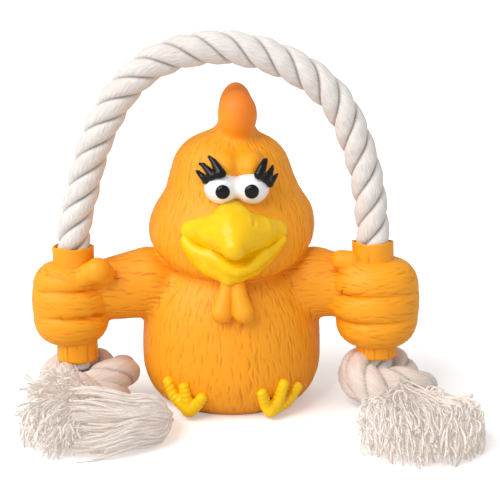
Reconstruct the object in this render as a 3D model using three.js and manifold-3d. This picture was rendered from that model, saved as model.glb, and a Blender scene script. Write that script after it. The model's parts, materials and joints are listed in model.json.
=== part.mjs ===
// A squeaky latex chicken that holds a cotton tug rope in both fists, in millimetres, +Z up.
// The chicken looks towards -Y. "left" names the side at -X and "right" the side at +X.
// The origin lies on the floor, under the middle of the chicken's bounding box.
import * as THREE from "three";
import { mergeVertices } from "three/addons/utils/BufferGeometryUtils.js";
import { ConvexGeometry } from "three/addons/geometries/ConvexGeometry.js";
import Module from "manifold-3d";

const wasm = await Module();
wasm.setup();

// Driving dimensions.
const GAP = 0.3; // between pieces that touch
const WALL = 2.2; // of the cast latex
const BASE_RADIUS = 28; // of the flat foot of the torso
const NECK_HEIGHT = 61; // of the crease between torso and head
const NECK_RADIUS = 32.6;
const HEAD_TOP = 121;
const DEPTH_RATIO = 0.92; // depth of the torso and head over their width
const FACE_X = 3; // the face sits a little to the right of the body's axis
const EYE_HEIGHT = 99.9;
const SHOULDER_X = 38.2; // of the flat joint between torso and arm
const SHOULDER_Y = -8;
const SHOULDER_Z = 54;
const SHOULDER_RADIUS = 15.3;
const WRIST_RADIUS = 13.2;
const HAND_Y = -14;
const LEFT_REACH = 67; // from the body's axis to the rope in the fist
const RIGHT_REACH = 62;
const FIST_OFFSET = 1.2; // of the fist outwards from its sleeve
const FIST_RADIUS = 17.2;
const FIST_BOTTOM = 27;
const FIST_TOP = 66;
const FINGERS = 3;
const SLEEVE_RADIUS = 8.8;
const SLEEVE_BORE = 7.6;
const SLEEVE_BOTTOM = 22;
const SLEEVE_TOP = 72.3;
const ROPE_RADIUS = 7.2;
const KNOT_HEIGHT = 14.5; // of the middle of a knot above the floor
const BEAK_REACH = 52; // of the beak's tip in front of the body's axis
const TAIL_REACH = 43; // of the tail behind it
const SQUEAKER_RADIUS = 9.7;
const SQUEAKER_HOLE = SQUEAKER_RADIUS + GAP;

// The body's axis stands where it centres the bounding box on the origin.
const BODY_X = (LEFT_REACH - RIGHT_REACH) / 2;
const BODY_Y = (BEAK_REACH - TAIL_REACH) / 2;

const ORANGE = { color: 0xf5a128, roughness: 0.55, metalness: 0 };
const COMB_RED = { color: 0xf07a35, roughness: 0.5, metalness: 0 };
const YELLOW = { color: 0xffdc1e, roughness: 0.3, metalness: 0 };
const EYE_WHITE = { color: 0xfafafa, roughness: 0.2, metalness: 0 };
const GLOSS_BLACK = { color: 0x101010, roughness: 0.15, metalness: 0 };
const COTTON = { color: 0xe9dfd5, roughness: 0.95, metalness: 0 };
const PLASTIC = { color: 0xf2f2ee, roughness: 0.4, metalness: 0 };

const LEFT = { name: "left", side: -1, reach: LEFT_REACH };
const RIGHT = { name: "right", side: 1, reach: RIGHT_REACH };

const chicken = new THREE.Group();
chicken.name = "rubber_chicken";
chicken.position.set(BODY_X, BODY_Y, 0);

// ---- Solids ----

// The closed solid of a geometry.
function solid(geometry) {
  const bare = geometry.clone();
  bare.deleteAttribute("normal");
  bare.deleteAttribute("uv");
  const merged = mergeVertices(bare, 1e-4);
  return new wasm.Manifold(
    new wasm.Mesh({
      numProp: 3,
      vertProperties: new Float32Array(merged.attributes.position.array),
      triVerts: new Uint32Array(merged.index.array),
    }),
  );
}

function join(solids) {
  return solids.reduce((all, next) => all.add(next));
}

function cut(from, tools) {
  return tools.reduce((rest, tool) => rest.subtract(tool), from);
}

// Puts a solid into the chicken as a named mesh.
function piece(name, shape, look) {
  const mesh = shape.getMesh();
  const geometry = new THREE.BufferGeometry();
  geometry.setAttribute("position", new THREE.BufferAttribute(mesh.vertProperties, 3));
  geometry.setIndex(new THREE.BufferAttribute(mesh.triVerts, 1));
  geometry.computeVertexNormals();
  const result = new THREE.Mesh(geometry, new THREE.MeshStandardMaterial(look));
  result.name = name;
  chicken.add(result);
}

// A solid of revolution about Z from its profile of [radius, height] points.
function turned(profile, segments) {
  const points = profile.map(([radius, height]) => new THREE.Vector2(radius, height));
  const geometry = new THREE.LatheGeometry(points, segments);
  geometry.rotateX(Math.PI / 2);
  return geometry;
}

function cylinder(radius, bottom, top, segments = 24) {
  return turned([[0, bottom], [radius, bottom], [radius, top], [0, top]], segments);
}

// A ball, or an ellipsoid if radius is a list of three.
function ball([x, y, z], radius, segments = 16) {
  const [rx, ry, rz] = Array.isArray(radius) ? radius : [radius, radius, radius];
  const geometry = new THREE.SphereGeometry(1, segments, Math.round(segments / 2));
  geometry.scale(rx, ry, rz);
  geometry.translate(x, y, z);
  return geometry;
}

// The convex skin over balls given as [[x, y, z], radius].
function over(balls, segments = 10) {
  const points = [];
  for (const [centre, radius] of balls) {
    const position = ball(centre, radius, segments).attributes.position;
    for (let i = 0; i < position.count; i++) {
      points.push(new THREE.Vector3().fromBufferAttribute(position, i));
    }
  }
  return new ConvexGeometry(points);
}

// A box between two corners.
function block(low, high) {
  const size = high.map((value, i) => value - low[i]);
  const geometry = new THREE.BoxGeometry(...size);
  geometry.translate(...low.map((value, i) => value + size[i] / 2));
  return geometry;
}

// ---- The torso and head ----

// The outside of the body from its foot to its crown, as radius against height.
const torsoCurve = new THREE.SplineCurve(
  [[BASE_RADIUS, 0], [36, 7], [39, 17], [38.4, 34], [37, 49], [NECK_RADIUS, NECK_HEIGHT]].map(
    ([radius, height]) => new THREE.Vector2(radius, height),
  ),
);
const headCurve = new THREE.SplineCurve(
  [[NECK_RADIUS, NECK_HEIGHT], [35.8, 71], [33.8, 85], [29, 94.5], [26.2, 103], [21, 112.5],
    [11, 119.3], [0, HEAD_TOP]].map(([radius, height]) => new THREE.Vector2(radius, height)),
);

// Points of a curve moved outwards by a distance, negative for inwards.
function offset(curve, steps, distance) {
  return Array.from({ length: steps + 1 }, (_, i) => {
    const at = curve.getPoint(i / steps);
    const along = curve.getTangent(i / steps);
    return [Math.max(0, at.x + along.y * distance), at.y - along.x * distance];
  });
}

const TORSO_STEPS = 8;
const HEAD_STEPS = 11;
const BODY_SEGMENTS = 32;

// The whole body as one solid, grown by a distance or shrunk by a negative one.
function body(distance) {
  const bottom = distance < 0 ? -distance : -1;
  const side = [
    ...offset(torsoCurve, TORSO_STEPS, distance),
    ...offset(headCurve, HEAD_STEPS, distance).slice(1, -1),
  ].filter(([, height]) => height > bottom);
  const profile = [
    [0, bottom],
    [BASE_RADIUS + distance, bottom],
    ...side,
    [0, HEAD_TOP + distance],
  ];
  const geometry = turned(profile, BODY_SEGMENTS);
  geometry.scale(1, DEPTH_RATIO, 1);
  return solid(geometry);
}

const bodyOutside = body(0);
const bodyInside = body(-WALL);
const bodyWithGap = body(GAP);

// The part of the body between two heights.
function slab(bottom, top) {
  return solid(block([-60, -60, bottom], [60, 60, top]));
}

// A cylinder along X at the shoulder.
function shoulderCylinder(radius, from, to) {
  const geometry = cylinder(radius, from, to);
  geometry.rotateY(Math.PI / 2);
  geometry.translate(0, SHOULDER_Y, SHOULDER_Z);
  return solid(geometry);
}

function torso() {
  const shell = cut(bodyOutside, [bodyInside]).intersect(slab(0, NECK_HEIGHT));
  const head = bodyWithGap.intersect(slab(NECK_HEIGHT, 200));
  const bosses = [LEFT, RIGHT].map(({ side }) => {
    const [from, to] = [side * 24, side * SHOULDER_X].sort((a, b) => a - b);
    return cut(shoulderCylinder(SHOULDER_RADIUS, from, to), [bodyInside, head]);
  });
  const tail = cut(
    join([-1, 0, 1].map((i) =>
      solid(over([
        [[i * 5, 29, 22], 7],
        [[i * 8, TAIL_REACH - 2.5 - Math.abs(i) * 1.5, 32 - Math.abs(i) * 3], 2.5],
      ])),
    )),
    [bodyInside],
  );
  return cut(join([shell, ...bosses, tail]), [
    shoulderCylinder(SHOULDER_RADIUS - WALL, -SHOULDER_X - 1, SHOULDER_X + 1),
    solid(cylinder(SQUEAKER_HOLE, -1, WALL + 1)),
  ]);
}

function head() {
  const shell = cut(bodyOutside, [bodyInside]).intersect(slab(NECK_HEIGHT + GAP, 200));
  return join([shell, cut(brows(0), [bodyInside])]);
}

// Two bumps over the eyes, grown by a distance.
function brows(distance) {
  const radii = [6.5, 5, 4.5].map((radius) => radius + distance);
  return join([-1, 1].map((side) => solid(ball([FACE_X + side * 8, -20.5, 107], radii))));
}

// ---- The face ----

function comb() {
  const lobes = [
    ball([3.1, -7.5, 126], [6.6, 8, 11]),
    ball([2.2, 5, 127], [8.2, 10, 12.5]),
  ];
  return cut(join(lobes.map(solid)), [bodyWithGap]);
}

// An eye is an ellipsoid that stands out of the face, grown by a distance.
function eyeball(side, distance) {
  const radii = [7.7, 9.2, 7.1].map((radius) => radius + distance);
  return solid(ball([FACE_X + side * 7.3, -25, EYE_HEIGHT], radii, 18));
}

// Everything to one side of the middle of the face, short of it by half a gap.
function halfSpace(side) {
  const near = FACE_X + (side * GAP) / 2;
  const far = near + side * 60;
  return solid(block([Math.min(near, far), -80, 40], [Math.max(near, far), 40, 140]));
}

function eye(side) {
  return cut(eyeball(side, 0), [bodyWithGap, brows(GAP)]).intersect(halfSpace(side));
}

// A pupil is a thin dome on its eye, set towards the nose.
function pupil(side) {
  const dome = solid(ball([FACE_X + side * 6.4, -33.2, EYE_HEIGHT + 1.6], [2.8, 2.2, 2.8], 12));
  return cut(dome, [eyeball(-1, GAP), eyeball(1, GAP)]);
}

// Three lashes rise from a rim on the outer upper edge of the eye.
function eyelashes(side) {
  const rim = [[3.4, -30.5, 107.2], [8.5, -30, 106.4], [13.2, -28, 103]];
  const tips = [[11.6, -28, 113.6], [15.8, -26, 109.8], [17, -24.5, 105.6]];
  const place = ([x, y, z]) => [FACE_X + side * x, y, z];
  const edges = [0, 1].map((i) => over([[place(rim[i]), 1.1], [place(rim[i + 1]), 1.1]], 8));
  const lashes = tips.map((tip, i) =>
    over([[place(rim[Math.max(i, 1)]), 1.3], [place(tip), 0.5]], 8),
  );
  return cut(join([...edges, ...lashes].map(solid)), [
    eyeball(side, GAP),
    bodyWithGap,
    brows(GAP),
  ]);
}

// The upper beak rises between the eyes, spreads to the corners and hooks down at its tip.
function upperBeakOver(distance) {
  const corner = (side) => [[FACE_X - 1.5 + side * 21, -25, 80.3], 2.2 + distance];
  return solid(over([
    [[FACE_X, -29, 92], 4 + distance],
    [[FACE_X, -40, 86], 5.5 + distance],
    [[FACE_X, 3.5 - BEAK_REACH, 78.5], 3.5 + distance],
    corner(-1),
    corner(1),
  ]));
}

function upperBeak() {
  return cut(upperBeakOver(0), [bodyWithGap, eyeball(-1, GAP), eyeball(1, GAP)]);
}

function lowerBeak() {
  const corner = (side) => [[FACE_X - 1.2 + side * 17.5, -27, 75.5], 2.3];
  const chin = solid(over([
    corner(-1),
    corner(1),
    [[1.5, -38, 66.5], 4],
    [[FACE_X - 1, -42, 71], 3.5],
  ]));
  return cut(chin, [bodyWithGap, upperBeakOver(GAP)]);
}

// A wattle is a drop that hangs from the chin over the crease of the neck.
function wattle(side) {
  const middle = 0.7;
  const drop = solid(over([
    [[middle + side * 2, -34.5, 60], 2],
    [[middle + side * 4.7, -36, 50], 4.5],
  ], 12));
  return cut(drop, [bodyWithGap, solid(block([middle - GAP / 2, -60, 30], [middle + GAP / 2, 0, 80]))]);
}

// A foot has three toes that spread up and out from its heel, against the belly.
function foot(side) {
  const heel = [side * 17.4, -33, 4];
  const tips = [[11.3, -35.5, 12.2], [21, -32, 15.8], [28, -27, 14.2]];
  const toes = tips.map(([x, y, z]) =>
    solid(over([[heel, 4], [[side * (x + 17.4) / 2, (y + heel[1]) / 2 - 1.5, (z + 4) / 2], 3.2],
      [[side * x, y, z], 2.9]])),
  );
  return cut(join(toes), [bodyWithGap]);
}

// ---- The squeaker in the base ----

// The case grips the hole of the torso with a collar inside it.
function squeakerCase() {
  const bore = 7.2;
  const collar = SQUEAKER_RADIUS + 3.5;
  const bottom = 0.8;
  const top = 12;
  const collarBottom = WALL + GAP;
  return solid(turned([
    [bore, bottom],
    [SQUEAKER_RADIUS, bottom],
    [SQUEAKER_RADIUS, collarBottom],
    [collar, collarBottom],
    [collar, collarBottom + 1.4],
    [SQUEAKER_RADIUS, collarBottom + 1.4],
    [SQUEAKER_RADIUS, top],
    [bore, top],
    [bore, bottom],
  ], 24));
}

// The cap closes the case with a grille of seven holes.
function squeakerCap() {
  const disc = solid(cylinder(7.2 - GAP, 1.2, 2.6));
  const holes = Array.from({ length: 7 }, (_, i) => {
    const radius = i === 6 ? 0 : 4;
    const hole = cylinder(0.9, 0, 4, 8);
    hole.translate(radius * Math.cos((i * Math.PI) / 3), radius * Math.sin((i * Math.PI) / 3), 0);
    return solid(hole);
  });
  return cut(disc, holes);
}

// The reed is a thin disc with a tongue that air sets humming.
function squeakerReed() {
  const disc = solid(cylinder(7.2 - GAP, 8, 8.8));
  const slot = cut(solid(block([-2.2, -4, 7], [2.2, 4, 10])), [
    solid(block([-1.5, -5, 7], [1.5, 3.3, 10])),
  ]);
  return cut(disc, [slot]);
}

// ---- The arms, fists and sleeves ----

function alongRope({ side, reach }, geometry, outwards = 0) {
  geometry.translate(side * (reach + outwards), HAND_Y, 0);
  return solid(geometry);
}

// A fist is a stack of finger rolls around the sleeve, grown by a distance.
function fistOutside(hand, distance) {
  const pitch = (FIST_TOP - FIST_BOTTOM) / FINGERS;
  const profile = [[0, FIST_BOTTOM - distance]];
  for (let finger = 0; finger < FINGERS; finger++) {
    for (const [share, inset] of [[0.06, 1.5], [0.25, 0.4], [0.5, 0], [0.75, 0.4], [0.94, 1.5]]) {
      const height = FIST_BOTTOM + (finger + share) * pitch;
      const fromEnd = Math.min(height - FIST_BOTTOM, FIST_TOP - height) / pitch;
      const rounding = 7 * Math.max(0, 0.6 - fromEnd) ** 2;
      profile.push([FIST_RADIUS - inset - rounding + distance, height]);
    }
  }
  profile.push([0, FIST_TOP + distance]);
  const geometry = turned(profile, 24);
  geometry.scale(1, 0.9, 1);
  return alongRope(hand, geometry, FIST_OFFSET);
}

function sleeveOutside(hand, distance) {
  return alongRope(
    hand,
    cylinder(SLEEVE_RADIUS + distance, SLEEVE_BOTTOM - distance, SLEEVE_TOP + distance),
  );
}

function sleeve(hand) {
  return cut(sleeveOutside(hand, 0), [alongRope(hand, cylinder(SLEEVE_BORE, 0, 100))]);
}

function fist(hand) {
  return cut(fistOutside(hand, 0), [sleeveOutside(hand, GAP)]);
}

// The skin over a circle at the shoulder and one at the wrist, both across X.
function armOver({ side, reach }, inset) {
  const rings = [
    [SHOULDER_X + GAP, SHOULDER_Y, SHOULDER_Z, SHOULDER_RADIUS - inset],
    [reach - 9, HAND_Y, SHOULDER_Z - 1.5, WRIST_RADIUS - inset],
  ];
  const count = 24;
  const points = rings.flatMap(([x, y, z, radius]) =>
    Array.from({ length: count }, (_, i) => {
      const angle = (i * 2 * Math.PI) / count;
      return new THREE.Vector3(
        side * x,
        y + radius * Math.cos(angle),
        z + radius * Math.sin(angle),
      );
    }),
  );
  return solid(new ConvexGeometry(points));
}

// The arm is hollow, and open to the torso at the shoulder.
function arm(hand) {
  const ends = [hand.side * SHOULDER_X, hand.side * (SHOULDER_X + 1)].sort((a, b) => a - b);
  const mouth = shoulderCylinder(SHOULDER_RADIUS - WALL, ...ends);
  return cut(armOver(hand, 0), [armOver(hand, WALL), mouth, fistOutside(hand, GAP)]);
}

// The thumb closes the fist at its inner top.
function thumb(hand) {
  const { side, reach } = hand;
  const size = side < 0 ? 6.2 : 4.6;
  const skin = solid(over([
    [[side * (reach - 17), HAND_Y - 10, 60], size],
    [[side * (reach - 11.5), HAND_Y - 13.5, 61.5], size * 0.95],
  ], 12));
  return cut(skin, [armOver(hand, -GAP), fistOutside(hand, GAP), sleeveOutside(hand, GAP)]);
}

// ---- The rope ----

// The rope rises out of the left fist, arches over the comb and runs down into the right fist.
const ARCH = [
  [-62.8, 96.4], [-56.8, 116.9], [-48, 134.5], [-38.2, 145.9], [-28, 152.3], [-16.6, 155.8],
  [-4.2, 157], [7, 155.8], [18.1, 152.6], [28.9, 147.6], [38.8, 140.4], [47, 130.2],
  [54, 114], [58.3, 97],
];
const KNOT_TOP = 21;

function rope() {
  const ends = (reach, side) =>
    [KNOT_TOP + GAP, 40, 60, 80].map((z) => new THREE.Vector3(side * reach, HAND_Y, z));
  const path = new THREE.CatmullRomCurve3([
    ...ends(LEFT_REACH, -1),
    ...ARCH.map(([x, z]) => new THREE.Vector3(x, HAND_Y, z)),
    ...ends(RIGHT_REACH, 1).reverse(),
  ]);
  const sides = 10;
  const section = new THREE.Shape(
    Array.from({ length: sides }, (_, i) => {
      const angle = (i * 2 * Math.PI) / sides;
      return new THREE.Vector2(ROPE_RADIUS * Math.cos(angle), ROPE_RADIUS * Math.sin(angle));
    }),
  );
  const tube = new THREE.ExtrudeGeometry(section, {
    extrudePath: path,
    steps: 36,
    bevelEnabled: false,
  });
  return solid(tube);
}

// Where a knot lies beside its sleeve, and where its tassel hangs from it.
const KNOT_SHIFT = 6.5; // both knots lie to the right of their ropes
const TASSEL_TURN = { left: 0.1, right: 0.35 }; // of a tassel's middle from -Y towards +X
const TASSEL_ROOT_Y = HAND_Y - 26;
const TASSEL_ROOT_Z = 10;
const TASSEL_ROOT_RADIUS = 8;

function knotX({ side, reach }) {
  return side * reach + KNOT_SHIFT;
}

function tasselRoot(hand, distance) {
  const centre = [knotX(hand), TASSEL_ROOT_Y, TASSEL_ROOT_Z];
  return solid(ball(centre, TASSEL_ROOT_RADIUS + distance));
}

// An overhand knot shows two rolls that cross at its front, around the end of the rope.
function knot(hand) {
  const rolls = [-1, 1].map((lean) => {
    const ring = new THREE.TorusGeometry(14, ROPE_RADIUS + 0.3, 9, 20);
    ring.scale(1.08, 1, 1);
    ring.rotateY(lean * 0.3);
    ring.translate(knotX(hand), HAND_Y, KNOT_HEIGHT);
    return solid(ring);
  });
  const core = cylinder(ROPE_RADIUS + 1.5, KNOT_HEIGHT - 8, KNOT_TOP, 16);
  core.translate(knotX(hand), HAND_Y, 0);
  const entry = cylinder(ROPE_RADIUS, KNOT_HEIGHT - 5, KNOT_TOP, 16);
  entry.translate(hand.side * hand.reach, HAND_Y, 0);
  const above = sleeveOutside(hand, GAP);
  return cut(join([...rolls, solid(core), solid(entry)]), [
    above,
    tasselRoot(hand, GAP),
    alongRope(hand, cylinder(ROPE_RADIUS + GAP, KNOT_TOP, 60)),
  ]);
}

// A tassel is a fan of loose yarn bundles that lie forwards on the floor.
function tassel(hand) {
  const bundles = 6;
  const spread = 0.8;
  const shapes = Array.from({ length: bundles }, (_, i) => {
    const angle = spread * ((2 * i) / (bundles - 1) - 1) + TASSEL_TURN[hand.name];
    const reach = 36 - 5 * Math.abs(Math.sin(2.3 * i));
    const along = (distance, height) => [
      knotX(hand) + distance * Math.sin(angle),
      TASSEL_ROOT_Y - distance * Math.cos(angle),
      height,
    ];
    return over([
      [along(0, TASSEL_ROOT_Z), 5],
      [along(reach * 0.55, 11), 8.5],
      [along(reach, 7), 7],
    ], 10);
  });
  return join([tasselRoot(hand, 0), ...shapes.map(solid)]);
}

// ---- Assembly ----

piece("torso_skin", torso(), ORANGE);
piece("head_skin", head(), ORANGE);
piece("comb", comb(), COMB_RED);
piece("upper_beak", upperBeak(), YELLOW);
piece("lower_beak", lowerBeak(), YELLOW);
for (const { name, side } of [LEFT, RIGHT]) {
  piece(`${name}_eye`, eye(side), EYE_WHITE);
  piece(`${name}_pupil`, pupil(side), GLOSS_BLACK);
  piece(`${name}_eyelashes`, eyelashes(side), GLOSS_BLACK);
  piece(`${name}_wattle`, wattle(side), ORANGE);
  piece(`${name}_foot`, foot(side), YELLOW);
}
piece("squeaker_case", squeakerCase(), PLASTIC);
piece("squeaker_cap", squeakerCap(), PLASTIC);
piece("squeaker_reed", squeakerReed(), PLASTIC);
for (const hand of [LEFT, RIGHT]) {
  piece(`${hand.name}_arm`, arm(hand), ORANGE);
  piece(`${hand.name}_fist`, fist(hand), ORANGE);
  piece(`${hand.name}_thumb`, thumb(hand), ORANGE);
  piece(`${hand.name}_sleeve`, sleeve(hand), ORANGE);
  piece(`${hand.name}_knot`, knot(hand), COTTON);
  piece(`${hand.name}_tassel`, tassel(hand), COTTON);
}
piece("rope", rope(), COTTON);

export default chicken;
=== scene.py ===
"""A squeaky latex chicken that holds a cotton tug rope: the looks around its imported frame."""

import json
import math

import bmesh
import bpy
import numpy as np
import openvdb
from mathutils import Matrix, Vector


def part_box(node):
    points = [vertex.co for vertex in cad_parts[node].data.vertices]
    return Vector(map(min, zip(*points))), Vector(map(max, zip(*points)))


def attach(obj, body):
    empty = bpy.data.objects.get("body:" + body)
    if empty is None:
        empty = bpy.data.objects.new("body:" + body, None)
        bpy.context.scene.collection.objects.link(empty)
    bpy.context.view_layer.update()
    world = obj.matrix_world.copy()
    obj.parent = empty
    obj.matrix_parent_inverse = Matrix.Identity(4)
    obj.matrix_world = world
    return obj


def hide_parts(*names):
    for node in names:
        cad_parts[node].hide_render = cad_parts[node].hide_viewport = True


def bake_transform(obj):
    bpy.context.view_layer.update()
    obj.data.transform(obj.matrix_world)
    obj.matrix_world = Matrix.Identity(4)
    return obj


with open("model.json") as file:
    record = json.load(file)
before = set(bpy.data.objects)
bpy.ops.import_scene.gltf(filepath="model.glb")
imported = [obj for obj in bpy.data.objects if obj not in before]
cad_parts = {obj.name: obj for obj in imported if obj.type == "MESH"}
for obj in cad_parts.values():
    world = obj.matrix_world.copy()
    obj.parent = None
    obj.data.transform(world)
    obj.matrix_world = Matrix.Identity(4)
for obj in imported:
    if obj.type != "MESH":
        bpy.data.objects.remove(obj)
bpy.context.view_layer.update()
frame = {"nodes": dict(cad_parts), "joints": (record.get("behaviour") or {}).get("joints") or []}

# Shapes are worked out in millimetres from the chicken's own axis, and put into the frame at the end.
MM = 0.001  # in metres
METRE = 1000  # in millimetres
STEP = 0.51  # of the grids that the moulded skin is made on
DETAIL = 0.3  # of the grids for small painted parts
rng = np.random.default_rng(7)


# ---- The frame, in millimetres ----

head_low, head_high = (np.array(corner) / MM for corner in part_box("head_skin"))
AXIS = np.array([(head_low[0] + head_high[0]) / 2, (head_low[1] + head_high[1]) / 2, 0])
HEAD_TOP = head_high[2]


def corners(node):
    """The lowest and highest corner of a CAD node, from the chicken's axis."""
    return [np.array(corner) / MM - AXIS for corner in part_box(node)]


SIDES = {"left": -1, "right": 1}
SLEEVES = {name: corners(f"{name}_sleeve") for name in SIDES}
HAND_Y = (SLEEVES["left"][0][1] + SLEEVES["left"][1][1]) / 2
REACH = {name: (low[0] + high[0]) / 2 for name, (low, high) in SLEEVES.items()}
SPLIT_X = corners("right_arm")[0][0] - 0.15  # the plane between torso and arm, just inward of the CAD arm
shoulder_y, shoulder_z = (METRE * v for v in frame["joints"][0]["pos_m"][1:])
SHOULDER = np.array([0, shoulder_y, shoulder_z]) - AXIS
NECK = corners("torso_skin")[1][2]  # the height that the torso reaches


def to_frame(points):
    return (np.asarray(points) + AXIS) * MM


def new_object(name, data):
    obj = bpy.data.objects.new(name, data)
    bpy.context.scene.collection.objects.link(obj)
    return obj


# ---- Camera ----

LOOK_AT = np.array([8.2, -10.0, 69.7])
LOOK_DOWN = math.radians(14)
DISTANCE = 620
VIEW_WIDTH = 215  # of the picture at the point looked at
SENSOR_WIDTH = 36
CLIP_START = 0.01  # in metres


def make_camera():
    data = bpy.data.cameras.new("camera")
    data.sensor_width = SENSOR_WIDTH
    data.lens = SENSOR_WIDTH * DISTANCE / VIEW_WIDTH
    data.clip_start = CLIP_START
    obj = new_object("camera", data)
    back = np.array([0, -math.cos(LOOK_DOWN), math.sin(LOOK_DOWN)])
    obj.location = to_frame(LOOK_AT + DISTANCE * back)
    obj.rotation_euler = (math.pi / 2 - LOOK_DOWN, 0, 0)
    bpy.context.scene.camera = obj


make_camera()


# ---- Meshes ----

def mesh_object(name, points, faces, normals=None):
    """A mesh from points in millimetres and quads or triangles, with normals where they are given."""
    mesh = bpy.data.meshes.new(name)
    points = to_frame(points).astype(np.float32)
    faces = np.asarray(faces, np.int32)
    mesh.vertices.add(len(points))
    mesh.vertices.foreach_set("co", points.ravel())
    mesh.loops.add(faces.size)
    mesh.loops.foreach_set("vertex_index", faces.ravel())
    mesh.polygons.add(len(faces))
    mesh.polygons.foreach_set("loop_start", np.arange(len(faces), dtype=np.int32) * faces.shape[1])
    mesh.polygons.foreach_set("use_smooth", np.ones(len(faces), bool))
    mesh.update(calc_edges=True)
    mesh.validate()
    if normals is not None:
        mesh.normals_split_custom_set_from_vertices(normals.astype(np.float32))
    return new_object(name, mesh)


def attribute(obj, name, values):
    layer = obj.data.attributes.new(name, "FLOAT", "POINT")
    layer.data.foreach_set("value", np.asarray(values, np.float32))


def normals_of(points, faces):
    """Smooth normals at the points of a mesh of quads."""
    a, b, c, d = (points[faces[:, i]] for i in range(4))
    cross = np.cross(c - a, d - b)
    total = np.zeros_like(points)
    for i in range(4):
        for axis in range(3):
            total[:, axis] += np.bincount(faces[:, i], cross[:, axis], len(points))
    return total / np.maximum(np.linalg.norm(total, axis=1, keepdims=True), 1e-9)


# ---- Fields of signed distance, in millimetres ----

def unit(vector):
    return vector / max(np.linalg.norm(vector), 1e-6)


def length(*parts):
    return np.sqrt(sum(part * part for part in parts))


def ellipsoid(centre, radii):
    def field(x, y, z):
        p = [(v - c) / r for v, c, r in zip((x, y, z), centre, radii)]
        q = [v / r for v, r in zip(p, radii)]
        near = length(*p)
        return near * (near - 1) / np.maximum(length(*q), 1e-6)
    return field


def chain(points, radii, scale=(1, 1, 1)):
    """Balls of changing size along a line of points, squashed by a scale in x, y and z."""
    scale = np.array(scale, float)
    points = np.asarray(points, float) / scale

    def field(x, y, z):
        p = [x / scale[0], y / scale[1], z / scale[2]]
        best = None
        for a, b, ra, rb in zip(points[:-1], points[1:], radii[:-1], radii[1:]):
            along = b - a
            share = sum((v - c) * d for v, c, d in zip(p, a, along)) / float(along @ along)
            share = np.clip(share, 0, 1)
            gap = length(*[v - c - d * share for v, c, d in zip(p, a, along)])
            gap = gap - (ra + (rb - ra) * share)
            best = gap if best is None else np.minimum(best, gap)
        return best * float(scale.min())
    return field


def soft_min(a, b, soft):
    if soft <= 0:
        return np.minimum(a, b)
    h = np.maximum(soft - np.abs(a - b), 0) / soft
    return np.minimum(a, b) - h * h * soft / 4


def joined(soft, *fields):
    def field(x, y, z):
        total = fields[0](x, y, z)
        for other in fields[1:]:
            total = soft_min(total, other(x, y, z), soft)
        return total
    return field


def without(base, tool, soft):
    return lambda x, y, z: -soft_min(-base(x, y, z), tool(x, y, z), soft)


TABLE_BELOW, TABLE_ABOVE, TABLE_BEYOND = 8, 10, 30  # how far a profile's table runs past it


def turned(profile, depth):
    """A solid of revolution about z from (radius, height) points, squashed in y by depth."""
    profile = np.asarray(profile, float)
    cell = 0.4
    low = np.array([0, profile[:, 1].min() - TABLE_BELOW])
    size = np.array([profile[:, 0].max() + TABLE_BEYOND, profile[:, 1].max() + TABLE_ABOVE]) - low
    count = (size / cell).astype(int) + 2
    r = (low[0] + np.arange(count[0]) * cell)[:, None]
    h = (low[1] + np.arange(count[1]) * cell)[None, :]
    table = np.full(count, 1e9)
    inside = np.zeros(count, bool)
    for (r0, h0), (r1, h1) in zip(profile[:-1], profile[1:]):
        dr, dh = r1 - r0, h1 - h0
        share = np.clip(((r - r0) * dr + (h - h0) * dh) / (dr * dr + dh * dh + 1e-12), 0, 1)
        table = np.minimum(table, length(r - r0 - dr * share, h - h0 - dh * share))
        crosses = (h0 <= h) != (h1 <= h)
        if abs(dh) > 1e-9:
            inside ^= crosses & (r < r0 + (h - h0) * dr / dh)
    table = np.where(inside, -table, table).astype(np.float32)

    def field(x, y, z):
        radius = length(x, y / depth)
        u = np.clip((radius - low[0]) / cell, 0, count[0] - 1.001)
        v = np.clip((z - low[1]) / cell, 0, count[1] - 1.001) + np.zeros_like(u)
        i, j = u.astype(np.int32), v.astype(np.int32)
        u, v = u - i, v - j
        near = table[i, j] * (1 - u) + table[i + 1, j] * u
        far = table[i, j + 1] * (1 - u) + table[i + 1, j + 1] * u
        return near * (1 - v) + far * v
    return field


def spline(points, count):
    """Points on a smooth curve through the given ones."""
    points = np.asarray(points, float)
    padded = np.vstack([2 * points[0] - points[1], points, 2 * points[-1] - points[-2]])
    t = np.linspace(0, len(points) - 1, count)
    i = np.minimum(t.astype(int), len(points) - 2)
    f = (t - i)[:, None]
    a, b, c, d = (padded[i + k] for k in range(4))
    return 0.5 * (2 * b + (c - a) * f + (2 * a - 5 * b + 4 * c - d) * f**2
                  + (3 * b - a - 3 * c + d) * f**3)


class Space:
    """A box of grid points that holds one field."""

    def __init__(self, low, high, step):
        self.low, self.step = np.array(low, float), step
        self.axes = [np.arange(a, b + step, step, dtype=np.float32) for a, b in zip(low, high)]
        self.values = np.full([len(axis) for axis in self.axes], 9.0, np.float32)

    def add(self, field, low, high, soft=0.0):
        """Joins a field in, between corners that hold all of its surface, and rounds the seam softly."""
        parts = tuple(slice(*np.searchsorted(axis, (a, b))) for axis, a, b in zip(self.axes, low, high))
        x, y, z = (axis[part] for axis, part in zip(self.axes, parts))
        new = field(x[:, None, None], y[None, :, None], z[None, None, :])
        self.values[parts] = soft_min(self.values[parts], new, soft)

    def surface(self):
        """Its surface as points and outward quads."""
        band = 3 * self.step
        grid = openvdb.FloatGrid(band)
        grid.copyFromArray(np.clip(self.values, -band, band))
        points, quads = grid.convertToQuads(0.0)
        return points.astype(float) * self.step + self.low, quads.astype(np.int32)


def shape(field, low, high, step):
    space = Space(low, high, step)
    space.add(field, low, high)
    return space.surface()


# ---- The moulded body ----

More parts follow.
